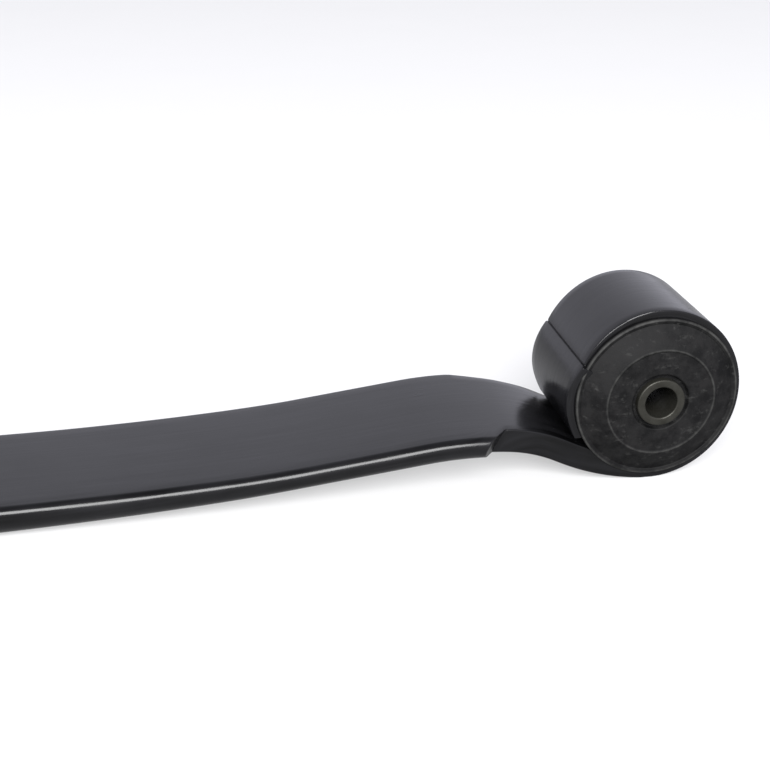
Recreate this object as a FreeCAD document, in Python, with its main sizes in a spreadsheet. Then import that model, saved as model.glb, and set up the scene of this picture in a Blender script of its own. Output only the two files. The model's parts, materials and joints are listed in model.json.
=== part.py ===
import FreeCAD, Part

import math
import os

import Sketcher

# Single-leaf spring with a rolled, rubber-bushed eye at each end.
# Millimetres. X runs along the spring, Y across it (the way the eye bolts run), Z up.
# The origin is the centre of the axle seat, on the leaf's upper face.

DIMENSIONS = [
    # alias, value, what it is
    ("eye_span", 860.0, "distance between the two eye centres"),
    ("leaf_width", 83.0, "width of the flat bar"),
    ("eye_width", 61.0, "width of the bar after the eye end is trimmed"),
    ("seat_length", 140.0, "length of the flat axle seat"),
    ("seat_thickness", 16.0, "bar thickness at the axle seat"),
    ("neck_thickness", 11.9, "thinnest bar thickness, just before the eye strap"),
    ("strap_thickness", 12.2, "bar thickness where it is rolled into the eye"),
    ("nose_radius", 5.0, "rounding of the bar's long edges"),
    ("seat_sweep_radius", 1938.0, "radius of the long upward sweep next to the seat"),
    ("seat_sweep_angle", 4.4, "rise at the end of that sweep, degrees"),
    ("sweep_radius", 926.0, "radius of the sweep after it, up to the steepest rise"),
    ("rise_angle", 7.0, "steepest rise of the bar towards the eye, degrees"),
    ("crest_radius", 184.0, "radius of the gentle crest"),
    ("crest_angle", 6.0, "fall at which the crest turns into the strap bend, degrees"),
    ("bend_radius", 76.5, "radius of the strap bend after the crest"),
    ("strap_angle", 26.1, "steepest fall of the strap, degrees"),
    ("strap_length", 4.3, "straight length of the strap"),
    ("cradle_radius", 113.0, "radius of the strap's upward curve under the eye"),
    ("roll_angle", 5.0, "fall at which the roll of the eye begins, degrees"),
    ("eye_bore", 65.0, "bore of the rolled eye"),
    ("roll_side_radius", 43.2, "outer radius of the eye on the side away from the seat"),
    ("roll_top_radius", 37.2, "radius of the outside past the top, where the bar thins"),
    ("crease_angle", 154.0, "where the crease lies round the eye, degrees from +X"),
    ("crease_step", 1.4, "height of the step at the crease"),
    ("tip_crown", 45.2, "outer radius of the eye between the crease and the tip"),
    ("tip_angle", 206.0, "where the tip of the bar ends, degrees from +X"),
    ("tip_slant", 10.0, "how far the tip's face slants back inwards, degrees"),
    ("front_trim_start", 84.0, "distance from the eye centre to the start of the trim on the -Y side"),
    ("front_trim_length", 9.0, "length of the trim on the -Y side"),
    ("back_trim_start", 96.0, "distance from the eye centre to the start of the trim on the +Y side"),
    ("back_trim_length", 39.5, "length of the trim on the +Y side"),
    ("seat_hole", 12.5, "hole for the centre bolt"),
    ("sleeve_bore", 16.0, "bore of the inner sleeve"),
    ("sleeve_outside", 24.0, "outside diameter of the inner sleeve"),
    ("sleeve_length", 77.0, "length of the inner sleeve"),
    ("sleeve_chamfer", 0.8, "chamfer on the ends of the inner sleeve"),
    ("can_wall", 2.0, "wall of each outer can"),
    ("can_gap", 1.0, "gap between the two outer cans at the middle of the eye"),
    ("can_chamfer", 0.5, "chamfer on the outer edge of each can"),
    ("rubber_clearance", 0.05, "radial clearance between the sleeve and the rubber"),
    ("flange_outside", 82.2, "outside diameter of the rubber flange"),
    ("flange_rim", 1.9, "thickness of the rubber flange at its rim"),
    ("flange_crown", 7.0, "thickness of the rubber flange at its ring"),
    ("flange_ring", 54.0, "diameter of the raised ring on the flange"),
    ("ring_height", 0.5, "height of the raised ring"),
    ("moat_outside", 28.5, "outside diameter of the groove round the sleeve"),
    ("moat_depth", 2.2, "depth of the groove round the sleeve"),
]

NECK_FROM_EYE = 130.0  # where the bar is thinnest, measured back from the end of the strap
STRAP_FROM_EYE = 35.0  # where the strap's thickness is reached, measured the same way
ARC_STEPS = 6  # points along each arc of the bar's edges
ROOT_PAST_CREASE = 9.0  # the crease's root lies there round the raised centre, past crease_angle, degrees
LIP_SWEEP = 1.5  # how far round the eye the crease's step takes, degrees
TIP_FALL = 0.8  # how far the outside falls from its crown to the tip

doc = FreeCAD.newDocument("LeafSpring")


def make_sheet():
    """The spreadsheet of driving dimensions: name, value and description in each row."""
    made = doc.addObject("Spreadsheet::Sheet", "Dimensions")
    for row, (alias, number, meaning) in enumerate(DIMENSIONS, start=1):
        made.set(f"A{row}", alias)
        made.set(f"B{row}", str(number))
        made.set(f"C{row}", meaning)
        made.setAlias(f"B{row}", alias)
    return made


sheet = make_sheet()
doc.recompute()


def size(alias):
    """The number in the sheet's cell of that name."""
    return float(getattr(sheet, alias))


# ---------------------------------------------------------------- the bar's centre line


class Walk:
    """A point that walks along the bar's centre line in the XZ plane."""

    def __init__(self, x, z):
        self.x, self.z, self.heading, self.run = x, z, 0.0, 0.0
        self.trail = []

    def mark(self):
        """Remembers where the walk is."""
        self.trail.append((self.x, self.z, self.heading, self.run))

    def line(self, length):
        """Goes straight on."""
        self.x += length * math.cos(self.heading)
        self.z += length * math.sin(self.heading)
        self.run += length

    def arc(self, radius, new_heading, steps=1, marked=False):
        """Turns along an arc until the walk heads at new_heading (radians)."""
        turn = (new_heading - self.heading) / steps
        side = 1.0 if turn > 0 else -1.0
        for _ in range(steps):
            before = self.heading
            self.heading += turn
            self.x += side * radius * (math.sin(self.heading) - math.sin(before))
            self.z -= side * radius * (math.cos(self.heading) - math.cos(before))
            self.run += abs(turn) * radius
            if marked:
                self.mark()


def bar_walk(straight):
    """Walks from the seat's edge to the end of the strap bend, with that straight length between."""
    rise = math.radians(size("rise_angle"))
    walk = Walk(size("seat_length") / 2, -size("seat_thickness") / 2)
    walk.mark()
    low = math.radians(size("seat_sweep_angle"))
    walk.arc(size("seat_sweep_radius"), low, ARC_STEPS, marked=True)
    walk.arc(size("sweep_radius"), rise, ARC_STEPS, marked=True)
    walk.line(straight)
    walk.mark()
    walk.arc(size("crest_radius"), -math.radians(size("crest_angle")), ARC_STEPS, marked=True)
    walk.arc(size("bend_radius"), -math.radians(size("strap_angle")), ARC_STEPS, marked=True)
    return walk


def strap_walk(walk):
    """Walks on along the strap to where the roll begins. Returns the corner points of the strap."""
    start = (walk.x, walk.z, walk.heading)
    walk.line(size("strap_length"))
    middle = (walk.x, walk.z, walk.heading)
    walk.arc(size("cradle_radius"), -math.radians(size("roll_angle")))
    return start, middle, (walk.x, walk.z, walk.heading)


ROLL_RADIUS = size("eye_bore") / 2 + size("strap_thickness") / 2


def eye_centre(walk):
    """The eye's centre, square to the left of the walk where the roll begins."""
    return (
        walk.x - ROLL_RADIUS * math.sin(walk.heading),
        walk.z + ROLL_RADIUS * math.cos(walk.heading),
    )


def straight_length():
    """The straight length that puts the eye's centre at half the eye span."""
    trial = bar_walk(0.0)
    strap_walk(trial)
    missing = size("eye_span") / 2 - eye_centre(trial)[0]
    return missing / math.cos(math.radians(size("rise_angle")))


bar = bar_walk(straight_length())
bar_length = bar.run
strap = strap_walk(bar)
EYE_X, EYE_Z = eye_centre(bar)


def smooth(value):
    """An even ease from 0 to 1."""
    value = min(max(value, 0.0), 1.0)
    return value * value * (3 - 2 * value)


def thickness(run):
    """The bar's thickness at that run from the seat's edge: seat, then neck, then strap."""
    left = bar_length - run
    if left > NECK_FROM_EYE:
        share = (left - NECK_FROM_EYE) / (bar_length - NECK_FROM_EYE)
        return size("neck_thickness") + (size("seat_thickness") - size("neck_thickness")) * share
    share = smooth((NECK_FROM_EYE - left) / (NECK_FROM_EYE - STRAP_FROM_EYE))
    return size("neck_thickness") + (size("strap_thickness") - size("neck_thickness")) * share


def offset(place, distance):
    """The point at that distance above (or below, if negative) a place on the centre line."""
    x, z, heading = place[:3]
    return FreeCAD.Vector(x - distance * math.sin(heading), z + distance * math.cos(heading), 0)


def round_eye(radius, degrees):
    """The point at that radius and angle round the eye's centre."""
    angle = math.radians(degrees)
    return FreeCAD.Vector(EYE_X + radius * math.cos(angle), EYE_Z + radius * math.sin(angle), 0)


# ---------------------------------------------------------------- sketches and features


def new_body(label):
    """A PartDesign body with that label."""
    body = doc.addObject("PartDesign::Body", label.replace(" ", "_"))
    body.Label = label
    return body


def new_sketch(body, name, role):
    """A sketch in the body, attached to its own origin plane of that role."""
    sketch = body.newObject("Sketcher::SketchObject", name)
    plane = next(f for f in body.Origin.OriginFeatures if f.Role == role)
    sketch.AttachmentSupport = [(plane, "")]
    sketch.MapMode = "FlatFace"
    return sketch


def close_outline(sketch, curves):
    """Puts the curves into the sketch, joined end to end, and fixes them in place."""
    for curve in curves:
        index = sketch.addGeometry(curve, False)
        sketch.addConstraint(Sketcher.Constraint("Block", index))


def polygon(points):
    """Straight edges through the points and back to the first."""
    return [Part.LineSegment(a, b) for a, b in zip(points, points[1:] + points[:1])]


def pad(body, sketch, name, length):
    """A pad of that length (an expression), half to each side of the sketch."""
    made = body.newObject("PartDesign::Pad", name)
    made.Profile = sketch
    made.SideType = "Symmetric"
    made.setExpression("Length", length)
    return made


def edge_curve(side):
    """The bar's upper (side=1) or lower (side=-1) edge from the seat to the strap, as one curve."""
    places = bar.trail
    points = [offset(place, side * thickness(place[3]) / 2) for place in places]
    curve = Part.BSplineCurve()
    first, last = places[0], places[-1]
    curve.interpolate(
        Points=points,
        InitialTangent=FreeCAD.Vector(math.cos(first[2]), math.sin(first[2]), 0),
        FinalTangent=FreeCAD.Vector(math.cos(last[2]), math.sin(last[2]), 0),
    )
    return curve


# ---------------------------------------------------------------- the leaf


def bar_outline():
    """The side outline of half of the bar, from the middle of the seat to the strap."""
    upper, lower = edge_curve(1), edge_curve(-1)
    seat_top = FreeCAD.Vector(0, 0, 0)
    seat_bottom = FreeCAD.Vector(0, -size("seat_thickness"), 0)
    return [
        Part.LineSegment(seat_top, upper.StartPoint),
        upper,
        Part.LineSegment(upper.EndPoint, lower.EndPoint),
        lower,
        Part.LineSegment(lower.StartPoint, seat_bottom),
        Part.LineSegment(seat_bottom, seat_top),
    ]


def arc_on(place, radius, distance, new_heading):
    """The arc of the strap's edge that far off the centre line, up to new_heading."""
    walk = Walk(place[0], place[1])
    walk.heading = place[2]
    walk.arc(radius, (place[2] + new_heading) / 2)
    middle = (walk.x, walk.z, walk.heading)
    walk.arc(radius, new_heading)
    end = (walk.x, walk.z, walk.heading)
    return Part.Arc(offset(place, distance), offset(middle, distance), offset(end, distance))


def eye_outline():
    """The side outline of the strap and the rolled eye, with its crease and its tip."""
    start, middle, roll = strap
    half = size("strap_thickness") / 2
    bore = size("eye_bore") / 2
    outside = bore + size("strap_thickness")
    roll_heading = -math.radians(size("roll_angle"))
    begin = 270 - size("roll_angle")
    crease, tip = size("crease_angle"), size("tip_angle")
    tip_inside = tip + size("tip_slant")
    # the outside runs through the eye's top and bottom and the side radius, so its centre is set back
    side = size("roll_side_radius")
    set_back = (outside**2 - side**2) / (2 * side)
    outer_radius = side + set_back
    # past the top it is struck from a centre above that one, where the bar thins
    rise = outer_radius - size("roll_top_radius")

    def past_top(degrees):
        """The point on the thinner part of the roll, at that angle round the raised centre."""
        angle = math.radians(degrees)
        return FreeCAD.Vector(
            EYE_X - set_back + size("roll_top_radius") * math.cos(angle),
            EYE_Z + rise + size("roll_top_radius") * math.sin(angle),
            0,
        )

    root = past_top(crease + ROOT_PAST_CREASE)
    centre = FreeCAD.Vector(EYE_X, EYE_Z, 0)
    root_radius = root.distanceToPoint(centre)
    root_angle = math.degrees(math.atan2(root.y - EYE_Z, root.x - EYE_X))
    lip = round_eye(root_radius + size("crease_step"), root_angle + LIP_SWEEP)
    tip_outside = round_eye(size("tip_crown") - TIP_FALL, tip)
    middle_crown = round_eye(size("tip_crown"), (root_angle + tip) / 2)
    return [
        Part.LineSegment(offset(start, -half), offset(start, half)),
        Part.LineSegment(offset(start, half), offset(middle, half)),
        arc_on(middle, size("cradle_radius"), half, roll_heading),
        Part.Arc(offset(roll, half), round_eye(bore, 60), round_eye(bore, tip_inside)),
        Part.LineSegment(round_eye(bore, tip_inside), tip_outside),
        Part.Arc(tip_outside, middle_crown, lip),
        Part.LineSegment(lip, root),
        Part.Arc(root, past_top((90 + crease) / 2), past_top(90)),
        Part.Arc(past_top(90), round_eye(side, 0), round_eye(outside, begin)),
        arc_on(middle, size("cradle_radius"), -half, roll_heading),
        Part.LineSegment(offset(middle, -half), offset(start, -half)),
    ]


def trim_outline(side, name):
    """What the named trim removes on one side (-1 or 1) of the bar, seen from above."""
    length = size(name + "_trim_length")
    edge = side * size("leaf_width")
    inner = side * size("eye_width") / 2
    begin = EYE_X - size(name + "_trim_start")
    end = EYE_X + size("leaf_width")
    slope = (size("leaf_width") - size("eye_width")) / 2 / length
    overrun = (abs(edge) - size("leaf_width") / 2) / slope
    return polygon([
        FreeCAD.Vector(begin - overrun, edge, 0),
        FreeCAD.Vector(begin + length, inner, 0),
        FreeCAD.Vector(end, inner, 0),
        FreeCAD.Vector(end, edge, 0),
    ])


def long_edges(shape):
    """The names of the bar's four long edges on each side: those that lie in its side faces."""
    side = size("leaf_width") / 2
    names = []
    for number, edge in enumerate(shape.Edges, start=1):
        box = edge.BoundBox
        on_side = abs(abs(box.YMin) - side) < 0.01 and abs(box.YMax - box.YMin) < 0.01
        if on_side and box.XLength > 5:
            names.append(f"Edge{number}")
    return names


def half_leaf():
    """Half of the leaf: bar with rounded edges, side trims, then the strap and the rolled eye."""
    body = new_body("half_leaf")
    outline = new_sketch(body, "BarOutline", "XZ_Plane")
    close_outline(outline, bar_outline())
    bar_pad = pad(body, outline, "BarPad", "Dimensions.leaf_width")
    doc.recompute()

    nose = body.newObject("PartDesign::Fillet", "BarNose")
    nose.Base = (bar_pad, long_edges(bar_pad.Shape))
    nose.setExpression("Radius", "Dimensions.nose_radius")
    doc.recompute()

    for name, side in (("front", -1), ("back", 1)):
        before = body.Shape.Volume
        plan = new_sketch(body, name + "_trim_plan", "XY_Plane")
        close_outline(plan, trim_outline(side, name))
        cut = body.newObject("PartDesign::Pocket", name + "_trim")
        cut.Profile = plan
        cut.Type = "ThroughAll"
        cut.SideType = "Symmetric"
        doc.recompute()
        if body.Shape.Volume >= before:
            raise RuntimeError(name + " trim removed nothing")

    eye = new_sketch(body, "EyeOutline", "XZ_Plane")
    close_outline(eye, eye_outline())
    pad(body, eye, "EyePad", "Dimensions.eye_width")
    doc.recompute()
    return body


def whole_leaf():
    """The leaf: the half, its mirror image across the seat, and the hole for the centre bolt."""
    half = half_leaf()
    mirror = doc.addObject("Part::Mirroring", "OtherHalf")
    mirror.Source = half
    mirror.Normal = FreeCAD.Vector(1, 0, 0)
    mirror.Base = FreeCAD.Vector(0, 0, 0)
    both = doc.addObject("Part::Fuse", "BothHalves")
    both.Base = half
    both.Tool = mirror
    both.Refine = True
    hole = doc.addObject("Part::Cylinder", "SeatHole")
    hole.setExpression("Radius", "Dimensions.seat_hole / 2")
    hole.setExpression("Height", "Dimensions.seat_thickness * 2")
    hole.setExpression("Placement.Base.z", "-Dimensions.seat_thickness * 1.5")
    leaf = doc.addObject("Part::Cut", "leaf")
    leaf.Base = both
    leaf.Tool = hole
    leaf.Refine = True
    leaf.Label = "leaf"
    doc.recompute()
    return leaf


# ---------------------------------------------------------------- the bush pieces


def ring_sketch(body, outside, inside):
    """A sketch of two circles about the body's Y axis, their radii bound to the sheet."""
    sketch = new_sketch(body, body.Label + "_Ring", "XZ_Plane")
    normal = FreeCAD.Vector(0, 0, 1)
    for number, (name, diameter) in enumerate((("outer", outside), ("inner", inside))):
        sketch.addGeometry(Part.Circle(FreeCAD.Vector(0, 0, 0), normal, 10.0 - number), False)
        sketch.addConstraint(Sketcher.Constraint("Coincident", number, 3, -1, 1))
        index = sketch.addConstraint(Sketcher.Constraint("Radius", number, 10.0 - number))
        sketch.renameConstraint(index, name)
        sketch.setExpression(f"Constraints.{name}", diameter + " / 2")
    return sketch


def round_edges(shape, radius):
    """The names of the shape's circular edges of that radius."""
    return [
        f"Edge{number}"
        for number, edge in enumerate(shape.Edges, start=1)
        if isinstance(edge.Curve, Part.Circle) and abs(edge.Curve.Radius - radius) < 0.01
    ]


def chamfer(body, base, radii, expression):
    """Chamfers the body's round edges of those radii."""
    made = body.newObject("PartDesign::Chamfer", body.Label + "_Chamfer")
    names = [name for radius in radii for name in round_edges(base.Shape, radius)]
    made.Base = (base, names)
    made.setExpression("Size", expression)
    doc.recompute()


def inner_sleeve(label):
    """The thick steel tube that the eye bolt clamps."""
    body = new_body(label)
    sketch = ring_sketch(body, "Dimensions.sleeve_outside", "Dimensions.sleeve_bore")
    tube = pad(body, sketch, label + "_Tube", "Dimensions.sleeve_length")
    doc.recompute()
    radii = (size("sleeve_outside") / 2, size("sleeve_bore") / 2)
    chamfer(body, tube, radii, "Dimensions.sleeve_chamfer")
    return body


def outer_can(label):
    """The thin steel can of one half bush, pressed into the eye. Centred on its own middle."""
    body = new_body(label)
    bore = "(Dimensions.eye_bore - 2 * Dimensions.can_wall)"
    sketch = ring_sketch(body, "Dimensions.eye_bore", bore)
    tube = pad(body, sketch, label + "_Tube", "(Dimensions.eye_width - Dimensions.can_gap) / 2")
    doc.recompute()
    chamfer(body, tube, (size("eye_bore") / 2,), "Dimensions.can_chamfer")
    return body


def rubber_outline(side):
    """The section of one rubber half (side -1 or 1), as radius and distance along Y."""
    inner = size("sleeve_outside") / 2 + size("rubber_clearance")
    can = size("eye_bore") / 2 - size("can_wall")
    rim = size("flange_outside") / 2
    face = size("eye_width") / 2
    ring = size("flange_ring") / 2
    crown = face + size("flange_crown")
    moat = size("moat_outside") / 2
    rim_face = face + size("flange_rim")
    corner = size("flange_rim") / 4
    bottom = crown - size("moat_depth")
    height = size("ring_height")
    corners = [
        (inner, size("can_gap") / 2),
        (can, size("can_gap") / 2),
        (can, face),
        (rim - corner, face),
        (rim, face + corner),
        (rim, rim_face - corner),
        (rim - corner, rim_face),
        (ring + 2 * height, crown),
        (ring + height, crown + height),
        (ring - height, crown + height),
        (ring - 2 * height, crown),
        (moat, crown),
        (moat - height, bottom),
        (inner, bottom),
    ]
    return polygon([FreeCAD.Vector(radius, side * along, 0) for radius, along in corners])


def rubber_half(label, side):
    """One half of the rubber bush, with the flange that covers the side of the eye."""
    body = new_body(label)
    sketch = new_sketch(body, label + "_Section", "XY_Plane")
    close_outline(sketch, rubber_outline(side))
    turned = body.newObject("PartDesign::Revolution", label + "_Turned")
    turned.Profile = sketch
    turned.ReferenceAxis = (sketch, ["V_Axis"])
    turned.Angle = 360
    doc.recompute()
    return body


def bush(end, sign):
    """The five pieces of the bush in one eye, placed at its centre."""
    centre = FreeCAD.Vector(sign * EYE_X, 0, EYE_Z)
    can_middle = (size("eye_width") + size("can_gap")) / 4
    pieces = [(inner_sleeve(f"{end}_inner_sleeve"), 0.0)]
    for name, side in (("left", 1), ("right", -1)):
        pieces.append((outer_can(f"{end}_{name}_outer_can"), side * can_middle))
        pieces.append((rubber_half(f"{end}_{name}_rubber", side), 0.0))
    for body, along in pieces:
        body.Placement = FreeCAD.Placement(
            centre + FreeCAD.Vector(0, along, 0), FreeCAD.Rotation()
        )
    return [body for body, _ in pieces]


# ---------------------------------------------------------------- build, check, write


def check(parts):
    """Stops if a feature failed or a sub-part's shape isn't one valid solid."""
    for thing in doc.Objects:
        if "Invalid" in thing.State or "Error" in thing.State:
            raise RuntimeError(f"{thing.Name} failed: {thing.State}")
    for part in parts:
        shape = part.Shape
        if shape.isNull() or not shape.isValid() or len(shape.Solids) != 1:
            raise RuntimeError(f"{part.Label} isn't one valid solid")


def main():
    """Builds every sub-part, checks them all and writes the STEP files."""
    parts = [whole_leaf()] + bush("front", 1) + bush("rear", -1)
    doc.recompute()
    check(parts)
    os.makedirs("parts", exist_ok=True)
    for part in parts:
        part.Shape.exportStep(os.path.join("parts", part.Label + ".step"))
        box = part.Shape.BoundBox
        print(
            f"{part.Label}: volume {part.Shape.Volume / 1000:.1f} cm3,"
            f" x {box.XMin:.1f}..{box.XMax:.1f}, z {box.ZMin:.1f}..{box.ZMax:.1f}"
        )
    print(f"eye centre at x {EYE_X:.3f}, z {EYE_Z:.3f}")


main()
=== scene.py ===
import json
import logging
import math
from collections.abc import Callable
from dataclasses import dataclass, field
from enum import Enum

import bpy
import numpy as np
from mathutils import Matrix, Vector


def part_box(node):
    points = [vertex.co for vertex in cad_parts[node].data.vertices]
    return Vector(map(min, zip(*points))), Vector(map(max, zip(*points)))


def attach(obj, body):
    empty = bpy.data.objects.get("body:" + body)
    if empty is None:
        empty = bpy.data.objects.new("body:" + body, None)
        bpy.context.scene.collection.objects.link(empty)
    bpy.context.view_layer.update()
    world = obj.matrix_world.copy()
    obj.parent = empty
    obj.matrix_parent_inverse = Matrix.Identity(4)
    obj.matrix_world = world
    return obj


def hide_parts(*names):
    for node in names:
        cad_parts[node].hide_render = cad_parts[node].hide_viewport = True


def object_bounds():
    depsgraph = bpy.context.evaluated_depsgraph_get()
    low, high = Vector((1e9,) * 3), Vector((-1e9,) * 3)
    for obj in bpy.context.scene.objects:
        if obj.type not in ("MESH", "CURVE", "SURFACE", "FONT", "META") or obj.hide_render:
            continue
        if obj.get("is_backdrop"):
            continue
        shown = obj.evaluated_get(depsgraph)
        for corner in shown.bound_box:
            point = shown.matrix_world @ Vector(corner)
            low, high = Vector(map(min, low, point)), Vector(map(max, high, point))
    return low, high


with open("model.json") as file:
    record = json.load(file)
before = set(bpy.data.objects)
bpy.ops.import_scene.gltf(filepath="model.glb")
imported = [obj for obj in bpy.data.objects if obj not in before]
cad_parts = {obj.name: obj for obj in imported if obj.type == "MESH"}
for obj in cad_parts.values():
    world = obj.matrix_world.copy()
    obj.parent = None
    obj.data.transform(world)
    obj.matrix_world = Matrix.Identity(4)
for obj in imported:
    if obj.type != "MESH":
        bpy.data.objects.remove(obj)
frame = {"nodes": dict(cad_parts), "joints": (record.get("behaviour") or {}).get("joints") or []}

logging.basicConfig(level=logging.INFO, format="%(name)s: %(message)s")
log = logging.getLogger("leaf_spring")

MM = 0.001  # metres in a millimetre
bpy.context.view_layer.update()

Socket = bpy.types.NodeSocket
Colour = tuple[float, float, float]
Ripple = Callable[[np.ndarray, np.ndarray, np.ndarray], np.ndarray]


class End(Enum):
    """The two ends of the spring, and the side of the seat that each lies on."""

    FRONT = 1
    REAR = -1

    @property
    def word(self) -> str:
        """The end's name as the nodes spell it."""
        return self.name.lower()


class Side(Enum):
    """The two sides of an eye: +Y is the left, -Y the right."""

    LEFT = 1
    RIGHT = -1

    @property
    def word(self) -> str:
        """The side's name as the nodes spell it."""
        return self.name.lower()


def joint_place(end: End) -> np.ndarray:
    """Reads an eye's centre from the joint of its sleeve.

    Args:
        end: which end.

    Returns:
        The centre in millimetres.
    """
    name = f"{end.word}_sleeve_turn"
    joint = next(j for j in frame["joints"] if j["name"] == name)
    return np.array(joint["pos_m"]) / MM


# ---------------------------------------------------------------- shading helpers


class NodeSheet:
    """A material's node tree with short ways to add and join nodes."""

    def __init__(self, name: str) -> None:
        """Starts an empty material with a Principled shader and its output.

        Args:
            name: the material's name.
        """
        self.material = bpy.data.materials.new(name)
        self.material.use_nodes = True
        self.tree = self.material.node_tree
        self.tree.nodes.clear()
        self.output = self.tree.nodes.new("ShaderNodeOutputMaterial")
        self.shader = self.tree.nodes.new("ShaderNodeBsdfPrincipled")
        self.join(self.shader.outputs["BSDF"], self.output.inputs["Surface"])

    def join(self, source: Socket, target: Socket) -> None:
        """Links an output to an input."""
        self.tree.links.new(source, target)

    def attribute(self, name: str) -> Socket:
        """A value that the mesh stores.

        Args:
            name: the name it is stored under.

        Returns:
            The value's socket.
        """
        node = self.tree.nodes.new("ShaderNodeAttribute")
        node.attribute_name = name
        return node.outputs["Fac"]

    def place(self, source: str, scale: tuple[float, float, float]) -> Socket:
        """A texture space.

        Args:
            source: the Texture Coordinate output, Object or UV.
            scale: how many pattern units one metre holds along each axis.

        Returns:
            The scaled vector's socket.
        """
        coordinate = self.tree.nodes.new("ShaderNodeTexCoord")
        mapping = self.tree.nodes.new("ShaderNodeMapping")
        mapping.inputs["Scale"].default_value = scale
        self.join(coordinate.outputs[source], mapping.inputs["Vector"])
        return mapping.outputs["Vector"]

    def noise(self, vector: Socket, detail: float, rough: float) -> Socket:
        """A noise texture's value over that vector.

        Args:
            vector: where the noise is read.
            detail: the number of octaves.
            rough: how strongly the finer octaves show.

        Returns:
            The noise value's socket, about 0.25 to 0.75.
        """
        texture = self.tree.nodes.new("ShaderNodeTexNoise")
        texture.inputs["Scale"].default_value = 1.0
        texture.inputs["Detail"].default_value = detail
        texture.inputs["Roughness"].default_value = rough
        self.join(vector, texture.inputs["Vector"])
        return texture.outputs["Fac"]

    def span(self, value: Socket, low: float, high: float, to_low: float, to_high: float) -> Socket:
        """Maps a stretch of a value onto another, and holds it at both ends.

        Args:
            value: the value's socket.
            low: where the stretch begins.
            high: where it ends.
            to_low: what low becomes.
            to_high: what high becomes.

        Returns:
            The mapped value's socket.
        """
        node = self.tree.nodes.new("ShaderNodeMapRange")
        node.clamp = True
        stretch = {"From Min": low, "From Max": high, "To Min": to_low, "To Max": to_high}
        for name, number in stretch.items():
            node.inputs[name].default_value = number
        self.join(value, node.inputs["Value"])
        return node.outputs["Result"]

    def math(self, operation: str, first: Socket, second: Socket) -> Socket:
        """A sum or product of two values.

        Args:
            operation: the Math node's word for it, such as ADD or MULTIPLY.
            first: the first value's socket.
            second: the second value's socket.

        Returns:
            The result's socket.
        """
        node = self.tree.nodes.new("ShaderNodeMath")
        node.operation = operation
        self.join(first, node.inputs[0])
        self.join(second, node.inputs[1])
        return node.outputs["Value"]

    def blend(self, share: Socket, first: Colour | Socket, second: Colour | Socket) -> Socket:
        """A colour between two others.

        Args:
            share: the second colour's share, 0 to 1.
            first: the colour at 0, fixed or from a socket.
            second: the colour at 1, fixed or from a socket.

        Returns:
            The blended colour's socket.
        """
        node = self.tree.nodes.new("ShaderNodeMix")
        node.data_type = "RGBA"
        self.join(share, node.inputs["Factor"])
        for name, colour in (("A", first), ("B", second)):
            socket = next(s for s in node.inputs if s.name == name and s.type == "RGBA")
            if isinstance(colour, tuple):
                socket.default_value = (*colour, 1.0)
            else:
                self.join(colour, socket)
        return next(s for s in node.outputs if s.type == "RGBA")

    def bump(self, height: Socket, distance: float, strength: float,
             under: Socket | None = None) -> Socket:
        """A bump from a height, laid over another one if given.

        Args:
            height: the height's socket, 0 to 1.
            distance: the height of 1, in metres.
            strength: the share of it that shows.
            under: the normal that it is laid over.

        Returns:
            The bumped normal's socket.
        """
        node = self.tree.nodes.new("ShaderNodeBump")
        node.inputs["Distance"].default_value = distance
        node.inputs["Strength"].default_value = strength
        self.join(height, node.inputs["Height"])
        if under is not None:
            self.join(under, node.inputs["Normal"])
        return node.outputs["Normal"]


@dataclass(frozen=True)
class SpringPaint:
    """Semi-gloss black chassis paint over rolled steel: streaks run along the leaf, with soft mottling."""

    dark: Colour = (0.0012, 0.0012, 0.0013)
    light: Colour = (0.0050, 0.0050, 0.0056)
    gloss: float = 0.17
    dull: float = 0.27
    refraction: float = 1.31

    def make(self) -> bpy.types.Material:
        """Makes the paint. It follows the piece's UV map, in metres along and round the leaf.

        Returns:
            The finished material.
        """
        sheet = NodeSheet("spring_paint")
        streak = sheet.noise(sheet.place("UV", (14.0, 420.0, 1.0)), 4.0, 0.55)
        cloud = sheet.noise(sheet.place("UV", (22.0, 48.0, 1.0)), 4.0, 0.55)
        peel = sheet.noise(sheet.place("Object", (330.0, 330.0, 330.0)), 2.0, 0.5)
        mixed = sheet.math("MULTIPLY", streak, cloud)
        sheet.join(
            sheet.blend(sheet.span(mixed, 0.14, 0.36, 0.0, 1.0), self.dark, self.light),
            sheet.shader.inputs["Base Color"],
        )
        rough = sheet.math("ADD", sheet.span(cloud, 0.3, 0.7, self.gloss, self.dull),
                           sheet.span(streak, 0.3, 0.7, -0.02, 0.02))
        sheet.join(rough, sheet.shader.inputs["Roughness"])
        sheet.shader.inputs["IOR"].default_value = self.refraction
        waves = sheet.bump(streak, 0.00008, 0.9)
        sheet.join(sheet.bump(peel, 0.00003, 0.6, waves), sheet.shader.inputs["Normal"])
        return sheet.material


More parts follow.
